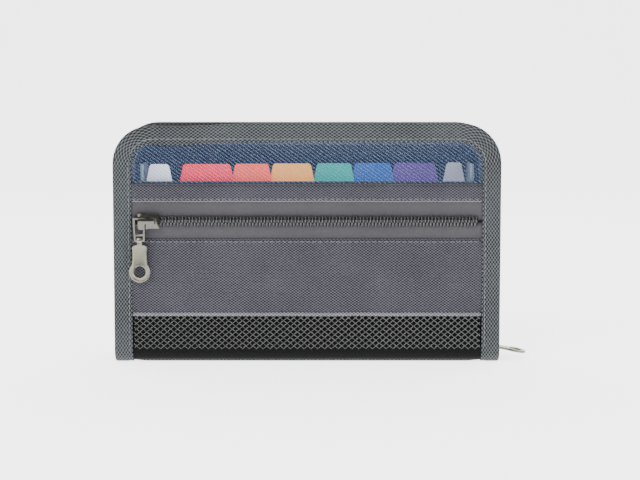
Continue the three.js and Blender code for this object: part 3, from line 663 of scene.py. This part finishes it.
# %% [markdown]
# ## Seams along the zip
# The strip and the pocket's front are folded under and sewn to the tapes. Each fold is a low round
# welt with a stitch line beside it, which is what makes the bright line and the dark one under it.
# The strip's lower fold also takes a lighter cloth, a painted highlight on its round edge.

# %% Make the welts and their stitches
WELT = 0.42 * MM
WELT_Y = SKIN_Y - WELT * 0.15
WELT_STEPS = 60
WELT_DRIFT = 0.12 * MM
STRIP_SEAM = strip_low + 1.5 * MM
POCKET_SEAM = panel_high - 1.6 * MM


def welt(name, z, radius, material):
    half = INNER_HALF - 0.2 * MM
    points = []
    for i in range(WELT_STEPS + 1):
        x = -half + 2 * half * i / WELT_STEPS
        drift = WELT_DRIFT * noise.noise(Vector((x * 60, z * 90, 3.0)))
        points.append(Vector((x, WELT_Y, z + drift)))
    return place(tube(name, points, radius, sides=10), "cover", "oxford_fabric", material)


# The lower fold takes the lighter cloth, a painted highlight.
welt("strip_fold", strip_low + WELT, WELT, FOLD_HIGHLIGHT)
welt("strip_upper_fold", strip_high - WELT, WELT * 0.9, OXFORD)
welt("pocket_fold", panel_high - WELT, WELT, OXFORD)
for name, z in (("strip_stitches", STRIP_SEAM), ("pocket_stitches", POCKET_SEAM)):
    path = [Vector((x, SKIN_Y - 0.1 * MM, z)) for x in (-INNER_HALF, 0.0, INNER_HALF)]
    stitches(name, path, Vector((0, -1, 0)), "oxford_fabric")

# %% Make the hem over the net
HEM_STEPS = 72
HEM_SIDES = 12
HEM_PUFF = 0.55 * MM
HEM_DRIFT = 0.15 * MM


def make_hem():
    half = INNER_HALF - 0.3 * MM
    middle, reach = (hem_low + hem_high) / 2, (hem_high - hem_low) / 2
    rings = []
    for i in range(HEM_STEPS + 1):
        x = -half + 2 * half * i / HEM_STEPS
        drift = HEM_DRIFT * noise.noise(Vector((x * 55, 0.0, 9.0)))
        ring = []
        for j in range(HEM_SIDES):
            angle = j / HEM_SIDES * 2 * math.pi
            out = HEM_PUFF * max(-0.1, math.sin(angle))
            ring.append(Vector((x, SKIN_Y - out, middle + drift + reach * math.cos(angle))))
        rings.append(ring)
    return skin("net_hem", rings)


# The hem takes the lighter cloth too: painted highlight on its round top.
place(make_hem(), "cover", "oxford_fabric", FOLD_HIGHLIGHT, "mesh_hem")

# %% [markdown]
# ## The cloth of the back and the bottom
# One piece of cloth starts under the front edge, runs along the bottom and up the back. Its outline
# has the rim's round corners. A single sheet that follows the bends keeps the weave running without
# a seam, where separate plates would each start it again.

# %% Make the wrapped cloth
WRAP_STEPS = 10
CLOTH_START = math.radians(68)
CLOTH_COLUMNS = 90
CLOTH_INSET = EDGE_INSET + 0.2 * MM
BACK_PUFF = 0.45 * MM
SIDE_HOLD = 10 * MM
FOOT_HOLD = 14 * MM
TOP_HOLD = 9 * MM
BASE_HALF = 12 * MM


def wrap_line(depth, top):
    points = []
    radius = BEND - depth
    for i in range(WRAP_STEPS + 1):
        angle = CLOTH_START + (math.pi / 2 - CLOTH_START) * i / WRAP_STEPS
        y = FRONT_Y + BEND - radius * math.cos(angle)
        points.append((y, BEND - radius * math.sin(angle)))
    for y in run(FRONT_Y + BEND, BACK_Y - BEND):
        points.append((y, depth))
    for i in range(WRAP_STEPS + 1):
        angle = math.pi / 2 * i / WRAP_STEPS
        points.append((BACK_Y - BEND + radius * math.sin(angle), BEND - radius * math.cos(angle)))
    count = round((HEIGHT - BEND) / RUN_STEP)
    points += [(BACK_Y - depth, BEND + (top - BEND) * i / count) for i in range(1, count + 1)]
    return points


def rim_top(x, inset):
    over = abs(x) - (HALF_WIDTH - CORNER)
    radius = CORNER - inset
    drop = radius - math.sqrt(max(0.0, radius ** 2 - over ** 2)) if over > 0 else 0.0
    return HEIGHT - inset - drop


def make_back_cloth():
    half = HALF_WIDTH - CLOTH_INSET
    rings = []
    for i in range(CLOTH_COLUMNS + 1):
        x = -half + 2 * half * i / CLOTH_COLUMNS
        top = rim_top(x, CLOTH_INSET)
        outside = wrap_line(TAPE_WALL, top)
        inside = wrap_line(TAPE_WALL + CLOTH, top)
        hold = max(0.0, min(1.0, (INNER_HALF - abs(x)) / SIDE_HOLD))
        ring = []
        for y, z in outside:
            wave = 0.6 + noise.noise(Vector((x * 30, z * 34, 4.0)))
            on_back = min(1.0, max(0.0, (z - BEND) / FOOT_HOLD)) if y > 0 else 0.0
            on_base = 1.0 if z < TAPE_WALL * 1.3 and abs(y) < BASE_HALF else 0.0
            below_rim = min(1.0, max(0.0, (HEIGHT - 12 * MM - z) / TOP_HOLD))
            puff = BACK_PUFF * wave * on_back * below_rim
            belly = TAPE_WALL * on_base * min(1.0, hold * 1.6)
            ring.append(Vector((x, y + puff * hold, z - belly)))
        ring += [Vector((x, y, z)) for y, z in reversed(inside)]
        rings.append(ring)
    return skin("back_cloth", rings, along=[ring[0].x + half for ring in rings])


place(make_back_cloth(), "cover", "oxford_fabric", OXFORD, "outer_fabric")

# %% [markdown]
# ## The net pocket
# Over the lower front lies a black net whose crossings catch the light. Bump could fake it, but it
# would stay flat at the edges and at a slant. So two families of round cords cross over and under
# each other, on a near-black cloth that turns under the bottom edge. Where it turns under, that
# near-black colour is painted shade, the shade under the bend.

# %% Make the net
CELL_X = 3.55 * MM
CELL_Z = 2.95 * MM
CORD = 0.36 * MM
CORD_LIFT = 0.2 * MM
NET_TOP = hem_low + 0.8 * MM
NET_FOOT = 7.0 * MM
NET_DEPTH = 0.42 * MM
BAND_COLUMNS = 40
BAND_END = math.radians(65)


def make_net():
    half = INNER_HALF - 0.4 * MM
    rise = NET_TOP - NET_FOOT
    slope = CELL_X / CELL_Z
    step = CELL_Z / 4
    cords = []
    for lean in (-1, 1):
        count = round((2 * half + rise * slope) / CELL_X) + 1
        for k in range(count):
            foot_x = -half - (rise * slope if lean > 0 else 0.0) + k * CELL_X
            points = []
            for i in range(round(rise / step) + 1):
                z = NET_FOOT + i * step
                x = foot_x + lean * (z - NET_FOOT) * slope
                if abs(x) > half:
                    continue
                weave = math.cos(math.pi * (i / 2 + k)) * lean
                points.append(Vector((x, SKIN_Y + 0.05 * MM - CORD_LIFT * weave, z)))
            if len(points) > 2:
                cords.append(tube("cord", points, CORD, sides=6, squash=0.75,
                                  flat_axis=Vector((0, 1, 0))))
    return join("black_net", cords)


def make_net_back():
    half = SIDE_TUCK
    radius = BEND - TAPE_WALL
    rings = []
    for i in range(BAND_COLUMNS + 1):
        x = -half + 2 * half * i / BAND_COLUMNS
        outer = [(SKIN_Y + NET_DEPTH, hem_high), (SKIN_Y + NET_DEPTH, NET_FOOT + 1 * MM),
                 (SKIN_Y, NET_FOOT), (SKIN_Y, BEND)]
        for j in range(1, BEND_STEPS + 1):
            angle = BAND_END * j / BEND_STEPS
            outer.append((FRONT_Y + BEND - radius * math.cos(angle), BEND - radius * math.sin(angle)))
        inner = []
        for y, z in reversed(outer):
            towards = Vector((FRONT_Y + BEND - y, max(0.0, BEND - z)))
            towards.normalize()
            thick = 0.4 * MM if z < hem_low - 1 * MM else 0.3 * MM
            inner.append((y + towards.x * thick, z + towards.y * thick))
        rings.append([Vector((x, y, z)) for y, z in outer + inner])
    return skin("net_band", rings, along=[ring[0].x + half for ring in rings])


place(make_net_back(), "cover", "mesh_black", NET_BACK_WITH_SHADE, "mesh_pocket")
place(make_net(), "cover", "mesh_black", NET)

# %% [markdown]
# ## Coil zips
# A coil zip is one nylon wire wound to left and right, so that each turn has a head that locks
# between two heads of the other side. A strip with teeth in bump has no depth. Each turn is made
# here as a bent wire: a front leg, a head that reaches past the middle, and a rear leg on the tape.
# The heads draw back where the slider's post parts them.

# %% Helper: the turns of a coil
COIL_PITCH = 1.76 * MM
WIRE = 0.4 * MM
COIL_WAY = (2.85, -0.45, -0.72, -0.45, 2.75)
COIL_OUT = (1.45, 1.55, 1.05, 0.55, 0.45)
COIL_SLANT = 0.22
POST_GAP = 1.45 * MM
POST_PLACE = 3.4 * MM
PARTING = 5 * MM


def coil(name, length, station, side, open_at):
    turns = []
    count = int(length / COIL_PITCH) - 1
    for i in range(count):
        along = (i + 0.75 + side * 0.25) * COIL_PITCH
        opened = max(0.0, min(1.0, 1 - open_at(along)))
        points = []
        for j, (way, out) in enumerate(zip(COIL_WAY, COIL_OUT)):
            across = way * MM + (POST_GAP * opened if j in (1, 2, 3) else 0.0)
            shift = COIL_PITCH * COIL_SLANT * (j - 2) / 2
            points.append(station(along + shift, across, out * MM))
        turns.append(tube("turn", points, WIRE, sides=6))
    return join(name, turns)

# %% Make the pocket's coils
slider_low, slider_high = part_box("pocket_slider")
ZIP_Z = (slider_low[2] + slider_high[2]) / 2
ZIP_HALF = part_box("pocket_zip_coil_upper")[1][0]
POST_X = slider_low[0] + POST_PLACE


def pocket_station(side):
    def at(along, across, out):
        return Vector((along - ZIP_HALF, UNDER_Y - out, ZIP_Z + side * across))
    return at


def pocket_open(along):
    return (along - ZIP_HALF - POST_X) / PARTING


for label, side in (("upper", 1), ("lower", -1)):
    turns = coil(f"pocket_coil_{label}", ZIP_HALF * 2, pocket_station(side), side, pocket_open)
    place(turns, "cover", "coil_nylon", COIL, f"pocket_zip_coil_{label}")

# %% [markdown]
# ## The closing zip
# The long zip runs up the right side, over the top and down the left. Each tape is sewn in behind
# its binding and turns across the gap to meet the other. The same rim stations carry the tape's
# bent section and the turns of its coil.

# %% Make the closing zip
COIL_FOOT = 9 * MM
POST_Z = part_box("main_slider")[0][2] + POST_PLACE


def tape_strip(side, stack):
    inner, outer = stack - TAPE_WALL - ZIP_TAPE_WALL, stack - TAPE_WALL
    edge = BACK_Y - 0.8 * MM
    turn = ZIP_TAPE_U + ZIP_TAPE_WALL
    section = [
        (EDGE_INSET, inner), (turn - 0.5 * MM, inner), (turn - 0.1 * MM, inner + 0.15 * MM),
        (turn, inner + 0.6 * MM), (turn + 0.1 * MM, (inner + edge) / 2), (turn, edge),
        (ZIP_TAPE_U, edge), (ZIP_TAPE_U + 0.1 * MM, (inner + edge) / 2),
        (ZIP_TAPE_U, outer + 0.25 * MM), (ZIP_TAPE_U - 0.2 * MM, outer), (EDGE_INSET, outer),
    ]
    return skin("tape", [ring_at(s, section) for s in rim(side, BEND + 0.3 * MM)])


def rim_runner(side):
    stations = rim(side, COIL_FOOT)
    marks = [0.0]
    seats = [origin + inward * ZIP_TAPE_U for origin, inward, through in stations]
    for before, after in zip(seats, seats[1:]):
        marks.append(marks[-1] + (after - before).length)

    def at(along, across, out):
        along = max(0.0, min(marks[-1], along))
        i = next(k for k in range(1, len(marks)) if marks[k] >= along)
        share = (along - marks[i - 1]) / (marks[i] - marks[i - 1])
        section = [(ZIP_TAPE_U - out, (BACK_Y - FRONT_Y) / 2 - across)]
        before = ring_at(stations[i - 1], section)[0]
        return before.lerp(ring_at(stations[i], section)[0], share)

    return at, marks[-1]


for label, side, stack in (("front", -1, FRONT_STACK), ("back", 1, BACK_STACK)):
    strip = tape_strip(side, stack)
    strip.name = f"closing_tape_{label}"
    place(strip, "cover", "zip_tape", SELVEDGE, f"main_zip_tape_{label}")
    at, length = rim_runner(side)
    post = length - (POST_Z - COIL_FOOT)
    turns = coil(f"closing_coil_{label}", length, at, side, lambda a, p=post: (p - a) / PARTING)
    place(turns, "cover", "coil_nylon", COIL, f"main_zip_coil_{label}")

# %% [markdown]
# ## Sliders, links and pulls
# These are cast and stamped metal, and the frame holds their true form. What a casting adds is the
# softness of its edges. So each piece starts from the frame's own mesh: flat facets are merged, the
# edges get a small bevel, and the pull's face is sunk inside a rim, as a stamped plate is.

# %% Dress the metal
EDGE = 0.16 * MM
PLATE_RIM = 0.75 * MM
PLATE_SINK = 0.16 * MM
WELD = 0.005 * MM
SMALLEST_PLATE = 4 * MM * MM
FLAT_ANGLE = math.radians(2)
EDGE_ANGLE = math.radians(35)


def softened(node, suffix, edge, merge=False, sink=False):
    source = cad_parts[node]
    work = bmesh.new()
    work.from_mesh(source.data)
    bmesh.ops.transform(work, matrix=source.matrix_world, verts=work.verts)
    bmesh.ops.remove_doubles(work, verts=work.verts, dist=WELD)
    if merge:
        bmesh.ops.dissolve_limit(work, angle_limit=FLAT_ANGLE, verts=work.verts, edges=work.edges)
    if sink:
        work.normal_update()
        normal = max(work.faces, key=lambda face: face.calc_area()).normal.copy()
        for sign in (1, -1):
            faces = [face for face in work.faces if face.calc_area() > SMALLEST_PLATE
                     and face.normal.dot(normal) * sign > 0.999]
            bmesh.ops.inset_region(work, faces=faces, thickness=PLATE_RIM, depth=-PLATE_SINK,
                                   use_even_offset=True)
    mesh = bpy.data.meshes.new(f"{node}_{suffix}")
    work.to_mesh(mesh)
    work.free()
    piece = add_object(f"{node}_{suffix}", mesh)
    bevel = piece.modifiers.new("soft edges", "BEVEL")
    bevel.width = edge
    bevel.segments = 2
    bevel.limit_method = "ANGLE"
    bevel.angle_limit = EDGE_ANGLE
    bevel.harden_normals = True
    for face in mesh.polygons:
        face.use_smooth = True
    return piece


def metal_piece(node, body, material, sink=False):
    piece = softened(node, "metal", EDGE, merge=True, sink=sink)
    return place(piece, body, "zip_metal", material, node)


for end in ("pocket", "main"):
    metal_piece(f"{end}_slider", f"{end}_runner", NICKEL)
    metal_piece(f"{end}_link", f"{end}_hanger", NICKEL)
    metal_piece(f"{end}_pull", f"{end}_tag", SATIN, sink=True)

# %% [markdown]
# ## The window
# Clear film with fine slanted lines is sewn in behind the binding. Glass would bend the light too
# much for a sheet this thin, so it is a sheet with alpha, and the lines lift both colour and alpha.
# It bows out a little in the middle, where no seam holds it.

# %% Make the window's film
FILM_WALL = 0.22 * MM
FILM_BOW = 0.35 * MM
FILM_INSET = 3 * MM
FILM_COLUMNS = 60
FILM_ROWS = 10


def make_window():
    half = SIDE_TUCK
    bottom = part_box("window_film")[0][2]
    rings = []
    for i in range(FILM_COLUMNS + 1):
        x = -half + 2 * half * i / FILM_COLUMNS
        top = rim_top(x, FILM_INSET)
        ring = []
        for j in range(FILM_ROWS + 1):
            share = j / FILM_ROWS
            z = bottom + (top - bottom) * share
            hold = max(0.0, 1 - (x / INNER_HALF) ** 2) * math.sin(math.pi * share)
            bow = FILM_BOW * hold * (0.7 + 0.5 * noise.noise(Vector((x * 25, z * 30, 1.0))))
            ring.append(Vector((x, UNDER_Y + 0.02 * MM - bow, z)))
        ring += [p + Vector((0, FILM_WALL, 0)) for p in reversed(ring)]
        rings.append(ring)
    return flatten_map(skin("window_sheet", rings))


place(make_window(), "cover", "window_film", WINDOW, "window_film")

# %% [markdown]
# ## The accordion and the lining
# Behind the window stand eight dividers with stepped tabs, between folded film sides. They could be
# rebuilt from outlines, but the frame holds their true form and fit. So they are copied from it with
# a fine rounded edge, which is where a cut film catches the light, and each gets a cloudy, satin
# finish. The lining is stiffened cloth, so it also gets a map for its weave.

# %% Dress the accordion and the lining
TABS = {
    "white_front": ("film_white", (214, 222, 234)),
    "red": ("film_red", (240, 14, 44)),
    "orange": ("film_orange", (255, 84, 36)),
    "yellow": ("film_yellow", (255, 180, 56)),
    "green": ("film_green", (0, 172, 158)),
    "blue": ("film_blue", (24, 92, 184)),
    "purple": ("film_purple", (96, 56, 150)),
    "white_rear": ("film_white", (196, 204, 216)),
}
FILM_EDGE = 0.06 * MM
TAB_ALPHA = 0.96
# The tabs' glow is painted light, in place of light passing through the film.
TAB_PAINTED_GLOW = 0.42

for label, (slot, colour) in TABS.items():
    node = f"divider_{label}"
    material = film_material(f"{label} film", colour, TAB_ALPHA, TAB_PAINTED_GLOW)
    place(softened(node, "film", FILM_EDGE), "cover", slot, material, node)
for node in ("bellows", "front_sheet", "rear_sheet"):
    place(softened(node, "film", FILM_EDGE), "cover", "film_frosted", FROST, node)
lining = flatten_map(softened("cover_lining", "cloth", FILM_EDGE * 2))
place(lining, "cover", "lining_fabric", LINING, "cover_lining")

# %% [markdown]
# ## Floor, light and camera
# The file stands on a pale floor that curves up behind it, in soft light from above and both
# sides. The camera looks slightly down from a little under a metre, with a long lens.

# %% Set the stage
FLOOR_FRONT = -2.0
FLOOR_STEPS = 12
FLOOR_GLOW = 2.6
PAPER = (0.94, 0.94, 0.94, 1.0)
WHITE = (1.0, 1.0, 1.0, 1.0)
AIR_LIGHT = 0.3


def make_stage():
    depth, rise, half, bend = 1.6, 2.4, 3.0, 0.8
    line = [(FLOOR_FRONT, 0.0), (depth - bend, 0.0)]
    for i in range(1, FLOOR_STEPS + 1):
        angle = i / FLOOR_STEPS * math.pi / 2
        line.append((depth - bend + bend * math.sin(angle), bend * (1 - math.cos(angle))))
    line.append((depth, rise))
    mesh = bpy.data.meshes.new("backdrop")
    vertices = [(x, y, z) for y, z in line for x in (-half, half)]
    faces = [(2 * i, 2 * i + 1, 2 * i + 3, 2 * i + 2) for i in range(len(line) - 1)]
    mesh.from_pydata(vertices, [], faces)
    backdrop = add_object("backdrop", mesh)
    material, tree, shader = new_material("paper", 0.9)
    shader.inputs["Base Color"].default_value = PAPER
    shader.inputs["Emission Color"].default_value = WHITE
    shader.inputs["Emission Strength"].default_value = FLOOR_GLOW
    mesh.materials.append(material)
    for face in mesh.polygons:
        face.use_smooth = True


def area_light(name, location, target, size, power):
    light = bpy.data.lights.new(name, "AREA")
    light.shape = "RECTANGLE"
    light.size, light.size_y = size
    light.energy = power
    holder = add_object(name, light)
    holder.location = location
    aim = Vector(target) - Vector(location)
    holder.rotation_euler = aim.to_track_quat("-Z", "Y").to_euler()


make_stage()
area_light("key", (-0.5, -0.9, 0.9), target=(0, 0, 0.05), size=(0.8, 0.5), power=14)
area_light("fill", (0.8, -0.8, 0.5), target=(0, 0, 0.06), size=(0.6, 0.6), power=6)
area_light("top", (0.0, 0.1, 1.2), target=(0, 0, 0.0), size=(1.2, 0.8), power=9)
world = bpy.data.worlds.new("studio")
world.use_nodes = True
world.node_tree.nodes["Background"].inputs["Color"].default_value = WHITE
world.node_tree.nodes["Background"].inputs["Strength"].default_value = AIR_LIGHT
bpy.context.scene.world = world
print("lights:", len(bpy.data.lights))

# %% Set the camera
ELEVATION = math.radians(5.5)
DISTANCE = 0.8
AIM = Vector((6.7 * MM, FRONT_Y, 63.9 * MM))
SHOWN_WIDTH = 330 * MM
SENSOR = 36.0
camera_data = bpy.data.cameras.new("camera")
camera_data.sensor_width = SENSOR
camera_data.lens = SENSOR * DISTANCE / SHOWN_WIDTH
camera = add_object("camera", camera_data)
camera.location = AIM + Vector((0, -math.cos(ELEVATION), math.sin(ELEVATION))) * DISTANCE
camera.rotation_euler = (math.pi / 2 - ELEVATION, 0, 0)
bpy.context.scene.camera = camera
print("lens:", round(camera_data.lens, 1), "mm")
